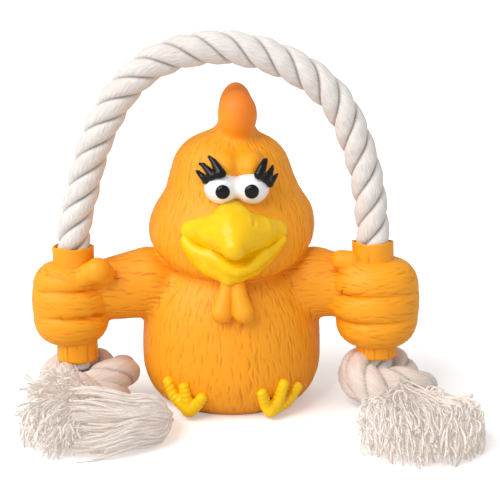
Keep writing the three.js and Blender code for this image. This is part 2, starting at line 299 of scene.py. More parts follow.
DEPTH = 0.92  # of the body, as a share of its width
FACE_X = 3.0  # the middle of the face
torso_profile = np.vstack([
    [[0, 0], [27, 0]],
    spline([[27.6, 0.3], [32.6, 3.9], [36.3, 9], [38.8, 17], [39.1, 27], [38.6, 36], [37.0, 45],
            [33.2, 53.5], [27, 60.5], [15, 65.5], [0, 67]], 60),
])
head_profile = spline([[0, 54], [22, 55.5], [30, 58.8], [34.4, 64], [35.9, 70.5], [35.6, 76.5], [33.9, 84],
                       [29.8, 93], [26.9, 101], [23.4, 110.5], [17.5, 116.5], [8, 120.4],
                       [0, HEAD_TOP]], 90)
JOWL_SLOPE = 0.28  # how much higher the neck crease runs at the back than under the chin
JOWL_Y = -33

torso_field = turned(torso_profile, DEPTH)
upright_head = turned(head_profile, DEPTH)


def head_field(x, y, z):
    """The head, with its lower edge slanting down towards the chin."""
    lift = JOWL_SLOPE * (np.clip(y, -36, 12) - JOWL_Y)
    lean = 0.9 * np.exp(-(((z - 90) / 10) ** 2))
    return upright_head(x - lean, y, z - lift * np.clip((96 - z) / 26, 0, 1))


def brow(name):
    return ellipsoid([FACE_X + 0.2 + SIDES[name] * 5.2, -21.2, 108.0], [6.0, 7.6, 6.4])


comb_field = joined(
    2.0,
    ellipsoid([2.9, -9.5, 128.2], [8.3, 8.4, 10.4]),
    ellipsoid([2.1, 4.5, 127.5], [7.6, 9.5, 12.6]),
    ellipsoid([2.2, 2, 121], [7.6, 13, 5]),
)


def wattle(name):
    x, side = 1.0, SIDES[name]
    return chain([[x + side * 2.1, -32.2, 62], [x + side * 3.0, -34.2, 56], [x + side * 4.5, -35.6, 49.3]],
                 [2.7, 3.3, 4.6])


tail_field = joined(2.0, *[
    chain([[i * 5, 29, 22], [i * 8, 40 - abs(i) * 1.5, 32 - abs(i) * 3]], [7, 2.8]) for i in (-1, 0, 1)
])


def arm_field(name):
    side = SIDES[name]
    wrist = [abs(REACH[name]) - 8, HAND_Y + 4.5, 51.0 if name == "left" else 53.2]
    points = np.array([[21, 1, 54], [36, SHOULDER[1] + 3, 54.2], wrist]) * [side, 1, 1]
    return chain(points, [14.0, 15.4, 12.8], (1, DEPTH, 1))


FISTS = {
    "left": {"middle": (-68.9, 46.8), "radius": 16.7, "half_height": 19.2, "inward": 0.0,
             "creases": (55.0, 43.4)},
    "right": {"middle": (62.8, 47.2), "radius": 18.3, "half_height": 20.6, "inward": 1.3,
              "creases": (53.4, 41.6)},
}


def fist_field(name):
    """A barrel-shaped fist around the sleeve, creased between three fingers at the inner side."""
    side = SIDES[name]
    fist = FISTS[name]
    x_middle, z_middle = fist["middle"]

    def field(x, y, z):
        inward = fist["inward"] * np.clip((z - 38) / 7, 0, 1)
        px = (x - x_middle + side * inward) / (1 + inward / fist["radius"])
        py, pz = (y - HAND_Y) / 0.88, (z - z_middle) / fist["half_height"]
        across = length(px, py)
        size = ((across / fist["radius"]) ** 3.2 + np.abs(pz) ** 3.2) ** (1 / 3.2)
        inner = np.clip(0.5 + 0.5 * (-0.7 * side * px - 0.7 * py) / np.maximum(across, 0.1), 0, 1)
        cut = 0
        for crease in fist["creases"]:
            off = z - crease - 0.03 * px
            cut = cut + 0.8 * np.exp(-((off / 2.6) ** 2)) + 1.4 * np.exp(-np.abs(off) / 0.7)
        taper = 1.5 * np.clip(-pz, 0, 1) ** 2
        return (size - 1) * fist["radius"] + taper + (0.1 + 1.6 * inner**2) * cut
    return field


def thumb_field(name):
    if name == "left":
        return chain([[-60, -22.5, 62.6], [-56, -23.2, 64.1], [-53.8, -20.5, 62.0]], [4.6, 5.5, 4.7])
    return chain([[46.8, -18.0, 67.4], [51, -18.5, 67.0], [56, -15, 66]], [4.3, 4.4, 4.3])


REGIONS = {
    "torso_skin": torso_field,
    "head_skin": joined(1.2, head_field, brow("left"), brow("right")),
    "comb": comb_field,
}
for kind, field_for in (("wattle", wattle), ("arm", arm_field), ("fist", fist_field), ("thumb", thumb_field)):
    for side_name in SIDES:
        REGIONS[f"{side_name}_{kind}"] = field_for(side_name)


def body_space():
    """The whole casting in one grid."""
    low = [corners("left_fist")[0][0] - 4, -46, -2]
    high = [corners("right_fist")[1][0] + 4, 48, 144]
    space = Space(low, high, STEP)
    space.add(torso_field, [-44, -42, -2], [44, 42, 70])
    for name, side in SIDES.items():
        x = sorted([side * 2, side * (abs(REACH[name]) + 8)])
        space.add(arm_field(name), [x[0], -36, 34], [x[1], 18, 76], soft=4.0)
    space.add(tail_field, [-20, 18, 10], [20, 48, 42], soft=3)
    space.add(head_field, [-42, -40, 48], [42, 40, 128], soft=1.3)
    for name in SIDES:
        space.add(brow(name), [-12, -34, 98], [18, -8, 120], soft=3.4)
        space.add(wattle(name), [-10, -46, 40], [12, -22, 68], soft=1.5)
    space.add(comb_field, [-14, -26, 108], [20, 22, 144], soft=4.6)
    for name, side in SIDES.items():
        x = REACH[name]
        space.add(fist_field(name), [x - 24, -36, 20], [x + 24, 8, 74], soft=1.0)
        inner, outer = sorted([x, x - side * 30])
        space.add(thumb_field(name), [inner, -40, 45], [outer, 0, 80], soft=1.7)
    return space


# ---- Incised feather strokes ----

BODY_STROKES = {"half": (1.4, 4.6), "width": (0.24, 0.34), "deep": (0.2, 0.46)}
HAND_STROKES = {"half": (1.6, 5.0), "width": (0.23, 0.33), "deep": (0.2, 0.45)}
STROKE_GAPS = {"body": 4.3, "arm": 4.4, "fist": 4.8}
STROKE_TURN, STROKE_BEND = 0.11, 0.035  # how unevenly strokes turn and bend
STROKE_SIDE, STROKE_OUT = 3, 4  # how far a stroke reaches sideways and in depth
TORSO_FAN, HEAD_FAN = 0.35, 0.1  # how much feathers lean outward at the side of the body
HALF_WIDTH = 38  # about that of the torso


def strokes(points, normals, seeds, flow, sizes):
    """How deep each point lies in short strokes cut at the seeds along the flow."""
    order = np.argsort(points[:, 2])
    heights = points[order, 2]
    depth = np.zeros(len(points))
    for seed in seeds:
        centre, normal = points[seed], normals[seed]
        along = flow(centre)
        along = unit(along - normal * (along @ normal))
        along = unit(along + rng.normal(0, STROKE_TURN) * np.cross(normal, along))
        across = np.cross(normal, along)
        half = rng.uniform(*sizes["half"])
        width = rng.uniform(*sizes["width"])
        deep = rng.uniform(*sizes["deep"])
        bend = rng.normal(0, STROKE_BEND)
        first, last = np.searchsorted(heights, (centre[2] - half - 1, centre[2] + half + 1))
        near = order[first:last]
        offset = points[near] - centre
        u, w, out = offset @ along, offset @ across, offset @ normal
        mine = (np.abs(u) < half) & (np.abs(w) < STROKE_SIDE) & (np.abs(out) < STROKE_OUT)
        near, u, w = near[mine], u[mine], w[mine]
        w = w - bend * u * u
        taper = np.clip(1 - (u / half) ** 2, 0, 1) ** 0.8
        cut = deep * taper * np.exp(-(w / width) ** 2)
        lip = 0.25 * deep * taper * np.exp(-((w - 2.2 * width) / (1.4 * width)) ** 2)
        depth[near] += cut - lip
    return depth


def spread(points, mask, gap):
    """Random seeds among the masked points, about a gap apart."""
    taken = {}
    for i in rng.permutation(np.flatnonzero(mask)):
        taken.setdefault(tuple((points[i] // gap).astype(int)), i)
    return list(taken.values())


def body_flow(centre):
    """Feathers run down, and lean outward towards the sides."""
    x, _, z = centre
    fan = TORSO_FAN if z < NECK else HEAD_FAN
    return np.array([fan * x / HALF_WIDTH, 0.0, -1.0])


def arm_flow(centre):
    return np.array([1.0, 0.0, 0.06 * np.sign(centre[0])])


def fist_flow(name):
    def flow(centre):
        across = np.array([centre[0] - REACH[name], centre[1] - HAND_Y, 0])
        return unit(np.cross([0, 0, 1.0], across)) + np.array([0, 0, 0.08 * math.sin(centre[2])])
    return flow


def front_oval(x, y, z, height, half_width, half_height):
    return (y < 0) & (((x - FACE_X) / half_width) ** 2 + ((z - height) / half_height) ** 2 < 1)


def bare_skin(x, y, z):
    """Where strokes stay off: eyes and brows, beak, comb, wattles, base and the crease of the neck."""
    face = front_oval(x, y, z, 104, 14, 12)
    beak = front_oval(x, y, z, 79, 24, 17)
    near_comb = comb_field(x, y, z) < 2.5
    near_wattle = np.minimum(*[wattle(name)(x, y, z) for name in SIDES]) < 1.0
    arms = np.minimum(*[arm_field(name)(x, y, z) for name in SIDES])
    near_torso = np.minimum(torso_field(x, y, z), arms) < 2.6
    neck = (np.abs(head_field(x, y, z)) < 2.6) & (z < 82) & near_torso
    return face | beak | near_comb | near_wattle | neck | (z < 2.5)


def cut_strokes(points, normals, region, hands):
    """How deep the feather strokes are at each point of the skin."""
    arms = region["left_arm"] | region["right_arm"]
    body = ~bare_skin(*points.T) & ~arms & ~hands["left"] & ~hands["right"]
    depth = strokes(points, normals, spread(points, body, STROKE_GAPS["body"]), body_flow, BODY_STROKES)
    depth += strokes(points, normals, spread(points, arms, STROKE_GAPS["arm"]), arm_flow, HAND_STROKES)
    for name in SIDES:
        fist = region[f"{name}_fist"] & (np.abs(normals[:, 2]) < 0.8)
        seeds = spread(points, fist, STROKE_GAPS["fist"])
        depth += strokes(points, normals, seeds, fist_flow(name), HAND_STROKES)
    return depth


def comb_blush(x, y, z):
    """How red the comb is at each point, more so towards its top."""
    red = np.clip((z - 117) / 18 + 0.3 * np.sin(0.25 * x), 0, 1) * np.where(y > -2, 0.75, 0.9)
    return red * (comb_field(x, y, z) < 1.5)


def body_parts(region, hands, x):
    """The CAD nodes and the points of each piece. The torso's piece holds the arms as far as the split."""
    inner_arm = (region["left_arm"] | region["right_arm"]) & (np.abs(x) < SPLIT_X)
    parts = {"torso_skin": (["torso_skin"], region["torso_skin"] | inner_arm)}
    for name in ("head_skin", "comb", "left_wattle", "right_wattle"):
        parts[name] = ([name], region[name])
    for name in SIDES:
        nodes = [f"{name}_arm", f"{name}_fist", f"{name}_thumb"]
        parts[f"{name}_arm"] = (nodes, (region[f"{name}_arm"] & ~inner_arm) | hands[name])
    return parts


def make_body():
    """The whole casting as one surface, cut into the regions that show as pieces."""
    points, quads = body_space().surface()
    points[:, 2] = np.maximum(points[:, 2], 0)
    normals = normals_of(points, quads)
    x, y, z = points.T
    nearest = np.argmin([field(x, y, z) for field in REGIONS.values()], axis=0)
    region = {name: nearest == i for i, name in enumerate(REGIONS)}
    hands = {name: region[f"{name}_fist"] | region[f"{name}_thumb"] for name in SIDES}
    depth = cut_strokes(points, normals, region, hands)
    blush = comb_blush(x, y, z)
    points = points - normals * depth[:, None]
    points[:, 2] = np.maximum(points[:, 2], 0)
    normals = normals_of(points, quads)

    parts = body_parts(region, hands, x)
    labels = np.zeros(len(points), int)
    for label, (_, mask) in enumerate(parts.values()):
        labels[mask] = label
    face_label = labels[quads].max(axis=1)
    made = {}
    for label, (name, (nodes, _)) in enumerate(parts.items()):
        used, mapped = np.unique(quads[face_label == label], return_inverse=True)
        obj = mesh_object(f"{name}_look", points[used], mapped.reshape(-1, 4), normals[used])
        # The stroke depth also darkens the colour, as painted shade in the cuts.
        attribute(obj, "painted_shade", depth[used])
        attribute(obj, "blush", blush[used])
        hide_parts(*nodes)
        made[name] = obj
    return made


# ---- Materials ----

class Nodes:
    """A material's node tree, filled from its Principled shader backwards."""

    def __init__(self, name):
        self.material = bpy.data.materials.new(name)
        self.material.use_nodes = True
        self.tree = self.material.node_tree
        self.shader = self.tree.nodes["Principled BSDF"]

    def node(self, kind, settings=None, **inputs):
        made = self.tree.nodes.new(kind)
        for key, value in (settings or {}).items():
            setattr(made, key, value)
        for key, value in inputs.items():
            self.set(made, key, value)
        return made

    def set(self, node, key, value):
        numbered = key[0] == "_" and key[1:].isdigit()
        socket = node.inputs[int(key[1:]) if numbered else key.replace("_", " ")]
        if isinstance(value, bpy.types.NodeSocket):
            self.tree.links.new(value, socket)
        else:
            socket.default_value = value

    def attribute(self, name):
        return self.node("ShaderNodeAttribute", {"attribute_name": name}).outputs["Fac"]

    def noise(self, scale, detail=4.0, rough=0.5, vector=None):
        place = vector or self.node("ShaderNodeTexCoord").outputs["Object"]
        return self.node("ShaderNodeTexNoise", None, Vector=place, Scale=scale, Detail=detail,
                         Roughness=rough).outputs["Fac"]

    def ramp(self, value, low, high, to_low=0.0, to_high=1.0):
        return self.node("ShaderNodeMapRange", {"clamp": True}, _0=value, _1=low, _2=high,
                         _3=to_low, _4=to_high).outputs[0]

    def mix(self, share, a, b):
        return self.node("ShaderNodeMix", {"data_type": "RGBA"}, _0=share, _6=a, _7=b).outputs[2]

    def math(self, operation, a, b):
        return self.node("ShaderNodeMath", {"operation": operation}, _0=a, _1=b).outputs[0]

    def bump(self, height, distance, strength):
        made = self.node("ShaderNodeBump", None, Strength=strength, Distance=distance, Height=height)
        return made.outputs["Normal"]

    def finish(self, **inputs):
        for key, value in inputs.items():
            self.set(self.shader, key, value)
        return self.material


def linear(red, green, blue):
    """A colour given as it looks on a screen, from 0 to 255."""
    def one(value):
        value = value / 255
        return value / 12.92 if value <= 0.04045 else ((value + 0.055) / 1.055) ** 2.4
    return (one(red), one(green), one(blue), 1.0)


def latex_material():
    """Satin orange latex: darker in its cut strokes with painted shade, redder on the comb."""
    n = Nodes("orange_latex")
    cloudy = n.noise(45, 3)
    fine = n.noise(900, 5, 0.6)
    base = n.mix(cloudy, linear(252, 168, 24), linear(247, 158, 20))
    # Painted shade: the latex is darkened where the feather strokes are cut deep.
    dark = n.ramp(n.attribute("painted_shade"), 0.04, 0.4)
    base = n.mix(n.math("MULTIPLY", dark, 0.42), base, linear(204, 98, 12))
    red = n.ramp(n.attribute("blush"), 0.05, 0.95)
    base = n.mix(n.math("MULTIPLY", red, 0.6), base, linear(244, 104, 44))
    rough = n.ramp(fine, 0.3, 0.7, 0.46, 0.58)
    normal = n.bump(n.noise(420, 6, 0.65), 0.00018, 0.5)
    return n.finish(Base_Color=base, Roughness=rough, Normal=normal, Specular_IOR_Level=0.35,
                    Subsurface_Weight=0.1, Subsurface_Radius=(0.003, 0.0018, 0.0008), Subsurface_Scale=1.0)


def paint_material(name, main, other, roughness, coat, shine=0.5):
    """Glossy brushed paint on latex, with a faint change of colour and an uneven coat."""
    n = Nodes(name)
    base = n.mix(n.ramp(n.noise(160, 4), 0.35, 0.7), main, other)
    rough = n.ramp(n.noise(500, 3), 0.3, 0.7, roughness, roughness + 0.08)
    normal = n.bump(n.noise(260, 4, 0.5), 0.00012, 0.2)
    return n.finish(Base_Color=base, Roughness=rough, Normal=normal, Coat_Weight=coat, Coat_Roughness=0.12,
                    Specular_IOR_Level=shine)


def cotton_material(name, shade, pale, glow):
    """Undyed cotton: pale fibres along the yarns, and warmer painted shade between them.
    Light scattered on through loose yarns is stood for by a faint glow."""
    n = Nodes(name)
    place = n.node("ShaderNodeUVMap", {"uv_map": "yarn"}).outputs["UV"]
    fibres = n.noise(1.0, 5, 0.6, vector=place)
    blotch = n.noise(60, 3)
    base = n.mix(n.ramp(fibres, 0.3, 0.7), shade, pale)
    base = n.mix(n.math("MULTIPLY", n.ramp(blotch, 0.35, 0.75), 0.3), base, linear(224, 205, 194))
    # Painted shade: the colour darkens towards a warm brown where the attribute is high.
    deep = n.ramp(n.attribute("painted_shade"), 0.0, 1.0)
    base = n.mix(n.math("MULTIPLY", deep, 0.8), base, linear(120, 104, 96))
    normal = n.bump(fibres, 0.0009, 0.9)
    return n.finish(Base_Color=base, Roughness=0.95, Normal=normal, Sheen_Weight=0.4, Sheen_Roughness=0.5,
                    Emission_Color=linear(255, 238, 226), Emission_Strength=glow)


def plastic_material():
    n = Nodes("squeaker_plastic")
    base = n.mix(n.noise(120, 3), linear(236, 236, 230), linear(222, 223, 216))
    normal = n.bump(n.noise(1500, 3), 0.00005, 0.4)
    return n.finish(Base_Color=base, Roughness=0.42, Normal=normal)


LATEX = latex_material()
PAINTS = {
    "yellow_paint": paint_material("yellow_paint", linear(251, 202, 0), linear(245, 190, 0), 0.24, 0.12, 0.3),
    "white_paint": paint_material("white_paint", linear(250, 250, 250), linear(240, 240, 244), 0.22, 0.3),
    "black_paint": paint_material("black_paint", linear(5, 4, 5), linear(9, 8, 9), 0.15, 0.08, 0.28),
}
COTTON = cotton_material("laid_cotton", linear(223, 216, 210), linear(246, 241, 236), 0.0)
# Painted light: the loose yarns are a paler copy of the cotton with a glow, standing for light that passes
# through the tassel.
YARN = cotton_material("loose_cotton", linear(238, 228, 219), linear(253, 248, 242), 0.22)
# Painted shade: the knots get a darker, pinker copy of the rope's cotton, with a faint painted glow.
KNOT_SHADE_COTTON = cotton_material("shaded_knot_cotton", linear(216, 199, 187), linear(238, 226, 216), 0.02)
PLASTIC = plastic_material()


def cover(obj, material):
    obj.data.materials.clear()
    obj.data.materials.append(material)


def dress(obj, material, body):
    """Gives a piece its material and, where a body is named, the body that it rides on."""
    cover(obj, material)
    if body:
        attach(obj, body)
    return obj


# ---- The rope ----

ROPE_RADIUS = 7.2
LAY = 35.0  # of one turn of a strand
ARCH = [
    [-62.8, 96.4], [-56.8, 116.9], [-48, 134.5], [-38.2, 145.9], [-28, 152.3], [-16.6, 155.8],
    [-4.2, 157], [7, 155.8], [18.1, 152.6], [28.9, 147.6], [38.8, 140.4], [47, 130.2],
    [54, 114], [58.3, 97],
]
ENDS = {
    "left": [[-66.6, 19], [-66.8, 30], [-67.0, 45], [-67.1, 60], [-66.8, 78]],
    "right": [[63.0, 19], [62.7, 30], [62.0, 45], [61.3, 60], [60.5, 78]],
}
ROPE_POINTS = 500


def even(points, gap):
    """The same line with points about a gap apart."""
    steps = np.linalg.norm(np.diff(points, axis=0), axis=1)
    place = np.concatenate([[0], np.cumsum(steps)])
    at = np.linspace(0, place[-1], max(2, round(place[-1] / gap)) + 1)
    return np.column_stack([np.interp(at, place, points[:, k]) for k in range(3)]), at


def frames(line):
    """Two directions across a line at each of its points, turning as little as possible."""
    along = np.gradient(line, axis=0)
    along /= np.linalg.norm(along, axis=1, keepdims=True)
    one = [unit(np.cross(along[0], [0.31, 0.87, 0.12]))]
    for direction in along[1:]:
        one.append(unit(one[-1] - direction * (one[-1] @ direction)))
    one = np.array(one)
    return one, np.cross(along, one)


def tube_points(line, angle, reach):
    """Rings of points around a line, at the given angles and distances from it."""
    one, two = frames(line)
    away = np.cos(angle)[..., None] * one[:, None, :] + np.sin(angle)[..., None] * two[:, None, :]
    return (line[:, None, :] + reach[..., None] * away).reshape(-1, 3)


def tube_faces(rings, sides, closed=False):
    """Quads between rings of points, and from the last ring to the first where it is closed."""
    i = np.arange(rings if closed else rings - 1)[:, None] * sides
    after = (i + sides) % (rings * sides)
    j = np.arange(sides)[None, :]
    k = (j + 1) % sides
    return np.stack([i + j, i + k, after + k, after + j], axis=-1).reshape(-1, 4)


def strand_radius(angle, groove):
    """The outline of three strands pressed together, as a radius against angle."""
    third = math.pi / 3
    share = np.abs((angle + third) % (2 * third) - third) / third
    return 1 - groove * (0.16 * share**2 + 0.17 * share**6)


def rope_mesh(name, line, radius=ROPE_RADIUS, groove=1.0, gap=0.8, sides=96):
    """A three-strand rope along a line, right-laid, a little uneven and closed at both ends."""
    line, at = even(line, gap * (1))
    angle = np.linspace(0, 2 * math.pi, sides, endpoint=False)[None, :]
    twist = (at * 2 * math.pi / LAY)[:, None]
    outline = strand_radius(angle - twist, groove)
    wobble = 1 + 0.012 * np.sin(at * 0.9)[:, None] + 0.008 * np.sin(3 * angle + at[:, None] * 0.37)
    reach = radius * outline * wobble
    obj = mesh_object(name, tube_points(line, angle, reach), tube_faces(len(line), sides))
    close_ends(obj, len(line), sides)
    # Painted shade: the grooves between the strands are darkened.
    painted_shade = np.clip((0.84 - outline) / 0.16, 0, 1)
    attribute(obj, "painted_shade", np.broadcast_to(painted_shade, reach.shape).ravel())
    yarn_map(obj, np.broadcast_to(angle, reach.shape).ravel() * 9, np.repeat(at, sides) * 0.16)
    return obj, line


def close_ends(obj, rings, sides):
    """Caps a tube with a face at each end."""
    tube = bmesh.new()
    tube.from_mesh(obj.data)
    tube.verts.ensure_lookup_table()
    for ring in (range(sides)[::-1], range((rings - 1) * sides, rings * sides)):
        tube.faces.new([tube.verts[i] for i in ring])
    tube.to_mesh(obj.data)
    tube.free()


def yarn_map(obj, across, along):
    """A UV map whose first axis runs across the yarns, and whose second runs along them."""
    layer = obj.data.uv_layers.new(name="yarn")
    index = np.empty(len(obj.data.loops), np.int32)
    obj.data.loops.foreach_get("vertex_index", index)
    places = np.column_stack([across[index], along[index]])
    layer.data.foreach_set("uv", places.astype(np.float32).ravel())


def rope_line():
    """From the left end up through both fists and over the head to the right end."""
    line = ENDS["left"] + ARCH + ENDS["right"][::-1]
    return spline([[x, HAND_Y, z] for x, z in line], ROPE_POINTS)


# ---- Knots ----

# Where the turns of each knot cross, as an angle around the rope.
CROSSINGS = {"left": 0.65, "right": 0.1}
SLANTS = {"left": 0.0, "right": -0.28}  # how much each knot rises to the right
KNOT_SHIFTS = {"left": 1.6, "right": 1.0}  # how far left of its CAD node's middle each one is
KNOT_RING = 12.0
KNOT_SWING = 3.8  # how far the turns move in and out of the ring
KNOT_HEIGHT = 12.2
KNOT_RISE = 4.2
KNOT_RADIUS = 7.4  # of the rope in it
KNOT_LOWEST = 0.0002  # in metres


def knot_line(name):
    """Two turns around the end of the rope that cross three times: an overhand knot."""
    low, high = corners(f"{name}_knot")
    x = (low[0] + high[0]) / 2 - KNOT_SHIFTS[name]
    t = np.linspace(0, 2 * math.pi, 240)
    angle = 2 * t + CROSSINGS[name]
    radius = KNOT_RING + KNOT_SWING * np.cos(3 * t)
    forward = radius * np.sin(angle)
    height = KNOT_HEIGHT - KNOT_RISE * np.sin(3 * t) + 0.08 * forward + SLANTS[name] * radius * np.cos(angle)
    return np.column_stack([x + radius * np.cos(angle), HAND_Y + forward, height])


def make_knot(name):
    line = knot_line(name)
    obj, _ = rope_mesh(f"{name}_knot_look", line, radius=KNOT_RADIUS, groove=0.9, sides=60, gap=1.0)
    for vertex in obj.data.vertices:
        vertex.co.z = max(vertex.co.z, KNOT_LOWEST)
    return obj


# ---- Tassels ----

YARN_RADIUS = 0.4
YARN_SIDES = 4
YARN_LOWEST = 0.1


def yarns(name, lines):
    """Many yarns as one mesh, each a thin tube that flares a little at its cut end."""
    points, faces, across, along, shade = [], [], [], [], []
    total = 0
    angle = np.linspace(0, 2 * math.pi, YARN_SIDES, endpoint=False)
    for k, line in enumerate(lines):
        share = np.linspace(0, 1, len(line))
        size = YARN_RADIUS * (1 + 0.25 * np.sin(share * 23 + k)) * (1 + 0.5 * np.clip(share - 0.9, 0, 1) * 10)
        size[-1] *= 0.6
        points.append(tube_points(line, angle, size[:, None]))
        faces.append(tube_faces(len(line), YARN_SIDES) + total)
        total += len(line) * YARN_SIDES
        across.append(np.tile(angle, len(line)) + k * 3.7)
        along.append(np.repeat(share * 8, YARN_SIDES))
        # Painted shade: each yarn is darker towards the knot, deep inside the tassel.
        shade.append(np.repeat(0.35 * (1 - share), YARN_SIDES))
    points = np.vstack(points)
    points[:, 2] = np.maximum(points[:, 2], YARN_LOWEST)
    obj = mesh_object(name, points, np.vstack(faces))
    attribute(obj, "painted_shade", np.concatenate(shade))
    yarn_map(obj, np.concatenate(across), np.concatenate(along))
    return obj


def bezier(points, count):
    a, b, c, d = (np.asarray(p, float) for p in points)
    t = np.linspace(0, 1, count)[:, None]
    return a * (1 - t) ** 3 + 3 * b * t * (1 - t) ** 2 + 3 * c * t**2 * (1 - t) + d * t**3


# A mop of cut yarns at each knot: where the yarns leave it, the middle and the half sizes of the mop,
# and its share of the yarns.
MOPS = {
    "left": ([-62, -32, 11], [-75, -56, 8], [10, 19, 8.5], 3),
    "right": ([72, -32, 11], [77.5, -63.5, 10], [24.5, 23.5, 11.5], 15),
}

# Bundles that fold back on themselves: a curve's four points, then a share of the yarns and how far
# they spread at the knot and at the cut ends.
BUNDLES = {
    "left": [
        ([-48, -33, 9], [-25, -36, 4], [-17, -56, 16], [-65, -55, 18], 3.0, 2.5, 5.5),
        ([-48, -33, 8], [-21, -38, 3], [-16, -60, 13], [-63, -66, 12], 3.0, 2.5, 5.5),
        ([-48, -33, 8], [-20, -42, 3], [-19, -70, 9], [-62, -77, 6], 2.8, 2.5, 5.5),
        ([-50, -33, 8], [-36, -37, 5], [-33, -52, 12], [-61, -54, 12], 1.3, 2.5, 5.0),
        ([-50, -33, 8], [-33, -42, 3], [-31, -60, 9], [-62, -64, 7], 1.3, 2.5, 5.0),
    ],
    "right": [],
}

# Where the brushes of short cut yarns around the left knot end.
BRUSHES = {
    "left": [[-85.5, -46, 17], [-79, -42, 21], [-69.5, -44, 24], [-84.5, -58, 10.5], [-69, -59, 19.5],
             [-75, -52, 17], [-74, -68, 7], [-70, -70, 10], [-64, -76, 6], [-68, -79, 5], [-60, -53, 20]],
    "right": [],
}
BRUSH_SHARE = 1.1

# Loose loops of yarn on top of the right mop.
LOOPS = {"left": [], "right": [[58, -58, 17], [60, -60, 18], [83, -50, 19], [85, -52, 19], [69, -60, 20]]}
YARNS_EACH = 58  # in a share of 1
SHORTEST_YARN = 0.66  # of a bundle's length
RIPPLE_HEIGHT = 1.2
MOP_ROWS = 22
MOP_WAVE = 1.6


def curly(line, amount):
    """The line with a wave that grows toward its cut end."""
    share = np.linspace(0, 1, len(line))[:, None]
    waves = rng.uniform(3, 13, 3)
    starts = rng.uniform(0, 6.3, 3)
    return line + amount * (0.3 + 0.7 * share) * np.sin(share * waves + starts)


def bundle(points, count, start_spread, end_spread, wave=0.9, rows=21, ripples=24):
    """Yarns along one curve that spread as they go, with ends cut at uneven lengths."""
    middle = bezier(points, rows)
    one, two = frames(middle)
    share = np.linspace(0, 1, len(middle))
    spread_out = start_spread + (end_spread - start_spread) * share**1.3
    lines = []
    for _ in range(count):
        away = math.sqrt(rng.uniform(0, 1)) * spread_out
        turn = rng.uniform(0, 2 * math.pi) + rng.normal(0, 0.5) * share
        line = middle + away[:, None] * (np.cos(turn)[:, None] * one + np.sin(turn)[:, None] * two)
        line[:, 2] += RIPPLE_HEIGHT * share * np.sin(share * ripples + 0.15 * line[:, 1] + rng.normal(0, 0.5))
        line = curly(line, wave)
        lines.append(line[: rng.integers(int(SHORTEST_YARN * rows), rows + 1)])
    return lines


def mop(root, middle, half, count):
    """Yarns that arch forward from the knot and end over the front of a rounded heap."""
    root, middle, half = np.array(root), np.array(middle), np.array(half)
    lines = []
    for _ in range(count):
        turn = rng.uniform(-1.75, 1.75)
        lift = math.asin(rng.uniform(-0.85, 0.6))
        out = rng.uniform(0.4, 1.0) ** 0.4
        level = math.cos(max(lift, 0.25 * lift))
        way = np.array([math.sin(turn) * level, -math.cos(turn) * level, math.sin(lift)])
        end = middle + out * half * way
        rise = (0.25 + 0.75 * out) * (1 - 0.2 * math.sin(turn) ** 2)
        over = middle + half * [math.sin(turn) * 0.85, 0.3 - 0.5 * abs(math.cos(turn)), rise]
        back, above = (0.55, 0.2) if rng.uniform() < 0.55 else (0.1, 0.8)
        before = end + half * [0.1 * way[0], back, above] * rng.uniform(0.7, 1.2)
        start = root + rng.normal(0, 2.2, 3)
        lines.append(curly(bezier([start, over, before, end], MOP_ROWS), MOP_WAVE))
    return lines


def brush(root, end, count):
    """Yarns that leave the knot together and part at their cut ends."""
    root, end = np.array(root), np.array(end)
    middle = [root + 0.4 * (end - root) + [0, 0, 4], root + 0.75 * (end - root) + [0, 0, 1.5]]
    return bundle([root, *middle, end], count, start_spread=1.8, end_spread=6.0,
                  wave=1.3, rows=14, ripples=9)


def loop(middle):
    """One yarn that turns over itself above the others."""
    turn = np.linspace(-2.2, 4.6, 22)
    size = rng.uniform(1.9, 2.9)
    tilt = rng.uniform(-0.5, 0.5)
    circle = np.stack([np.cos(turn), 0.5 + tilt * np.sin(turn), np.sin(turn)], axis=-1)
    return np.array(middle) + size * circle


def make_tassel(name):
    root, middle, half, share = MOPS[name]
    lines = mop(root, middle, half, int(YARNS_EACH * share))
    for *points, share, start_spread, end_spread in BUNDLES[name]:
        lines += bundle(points, int(YARNS_EACH * share), start_spread, end_spread)
    for end in BRUSHES[name]:
        lines += brush(root, end, int(YARNS_EACH * BRUSH_SHARE))
    lines += [loop(middle) for middle in LOOPS[name]]
    return yarns(f"{name}_tassel_look", lines)


# ---- Sleeves ----

# How much higher than the CAD node's the upper rim and the lower hem are, how far a sleeve leans from
# its bottom to its top, and where the waves of its trimmed rims start.
SLEEVE_CUTS = {
    "left": {"raised": 0.2, "hem": 0.5, "lean": -0.7, "phase": 0.4},
    "right": {"raised": 2.4, "hem": 2.0, "lean": -2.8, "phase": 2.1},
}
SLEEVE_WALL = 0.9
SLEEVE_FOLDS = 46


def sleeve_folds(angle, level, phase):
    """Shallow upright folds, as the change of radius at each level and angle."""
    folds = 0.03 * np.sin(5 * angle + phase) + np.zeros((len(level), 1))
    for _ in range(SLEEVE_FOLDS):
        start = rng.uniform(-0.05, 0.95)
        place = rng.uniform(0, 2 * math.pi)
        tall = rng.uniform(0.05, 0.2)
        deep = rng.uniform(0.1, 0.3)
        around = (angle - place + math.pi) % (2 * math.pi) - math.pi
        within = np.clip(1 - np.abs((level - start) / tall), 0, 1) ** 0.5
        folds -= deep * within[:, None] * np.exp(-((around / 0.035) ** 2))
    return folds


